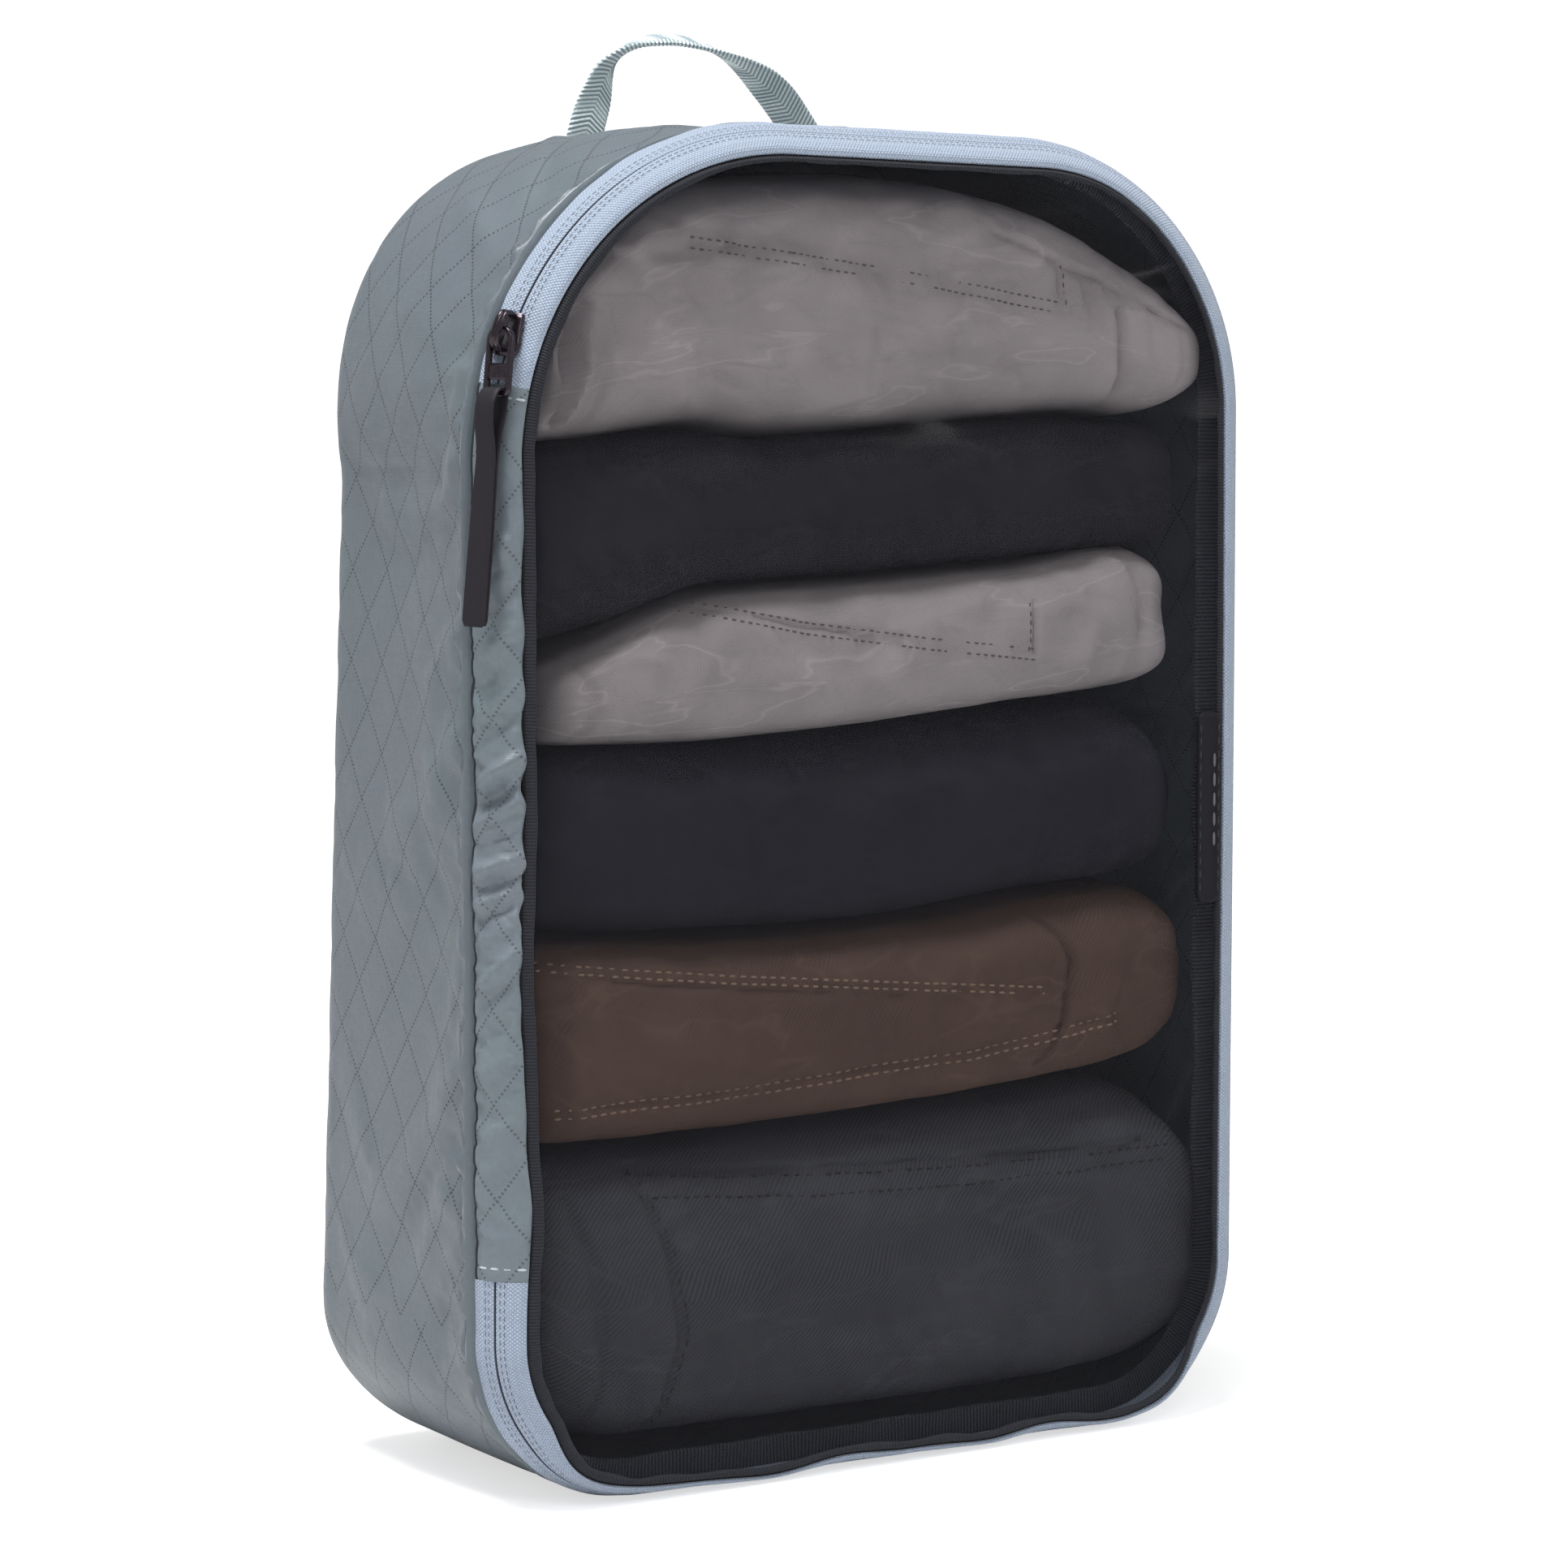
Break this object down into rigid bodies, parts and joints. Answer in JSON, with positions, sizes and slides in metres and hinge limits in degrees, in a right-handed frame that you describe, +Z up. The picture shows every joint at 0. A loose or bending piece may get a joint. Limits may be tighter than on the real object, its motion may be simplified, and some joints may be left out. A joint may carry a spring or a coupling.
{
  "type": "packing cube",
  "caption": "Soft upright packing cube with a see-through zip-open door, rounded corners, a folded zip pull and a webbing loop handle.",
  "frame": {"origin": "middle of the base on the floor", "axes": "+X to the right seen from the door, +Y from the door to the back, +Z up; the zip's hinge strip is at -X"},
  "size_m": [0.2492, 0.1075, 0.394],
  "materials": {
    "body_cloth": "laminated ripstop with a slight sheen",
    "seam_binding": "ribbed grosgrain",
    "pale_thread": "matte thread",
    "dark_thread": "matte thread",
    "zip_tape": "woven zip tape",
    "zip_coil": "matte",
    "handle_webbing": "ribbed webbing",
    "door_mesh": "fine see-through mesh",
    "mesh_binding": "ribbed binding",
    "label_rubber": "matte moulded",
    "slider_metal": "satin gunmetal",
    "spring_steel": "satin",
    "pull_strap": "matte coated strap"
  },
  "bodies": {
    "shell": {"gusset_panel": "body_cloth", "back_panel": "body_cloth", "back_seam_binding": "seam_binding", "front_seam_binding": "seam_binding", "hinge_strip": "body_cloth", "strip_end_stitches": "pale_thread", "zipper_tape_rear": "zip_tape", "zipper_coil_rear": "zip_coil", "zipper_top_stop": "zip_coil", "zipper_bottom_stop": "zip_coil", "handle_ends": "handle_webbing", "handle_bartacks": "pale_thread"},
    "lid": {"mesh_panel": "door_mesh", "mesh_edge_binding": "mesh_binding", "zipper_tape_front": "zip_tape", "zipper_coil_front": "zip_coil", "side_label": "label_rubber", "label_stitches": "dark_thread"},
    "slider": {"slider_body": "slider_metal", "slider_bridge": "slider_metal", "slider_lock_spring": "spring_steel"},
    "pull_frame": {"pull_frame": "slider_metal"},
    "pull_tab": {"pull_tab": "pull_strap"},
    "handle": {"handle_webbing": "handle_webbing"}
  },
  "joints": [
    {"name": "door_hinge", "type": "hinge", "parent": "shell", "child": "lid", "pos_m": [-0.1135, -0.052, 0.18], "axis": [0, 0, -1], "range_deg": [0, 150], "deforming": ["zipper_tape_front", "zipper_coil_front"]},
    {"name": "slider_travel", "type": "hinge", "parent": "shell", "child": "slider", "pos_m": [-0.032, 0, 0.27], "axis": [0, 1, 0], "range_deg": [0, 63]},
    {"name": "pull_frame_swing", "type": "hinge", "parent": "slider", "child": "pull_frame", "pos_m": [-0.11732, -0.04875, 0.30412], "axis": [-0.5171, 0.8545, 0.0498], "range_deg": [0, 90]},
    {"name": "pull_tab_swing", "type": "hinge", "parent": "pull_frame", "child": "pull_tab", "pos_m": [-0.1189, -0.04875, 0.2877], "axis": [-0.5171, 0.8545, 0.0498], "range_deg": [0, 60]},
    {"name": "handle_fold", "type": "hinge", "parent": "shell", "child": "handle", "pos_m": [0, 0.0485, 0.3588], "axis": [1, 0, 0], "range_deg": [-95, 60]}
  ]
}
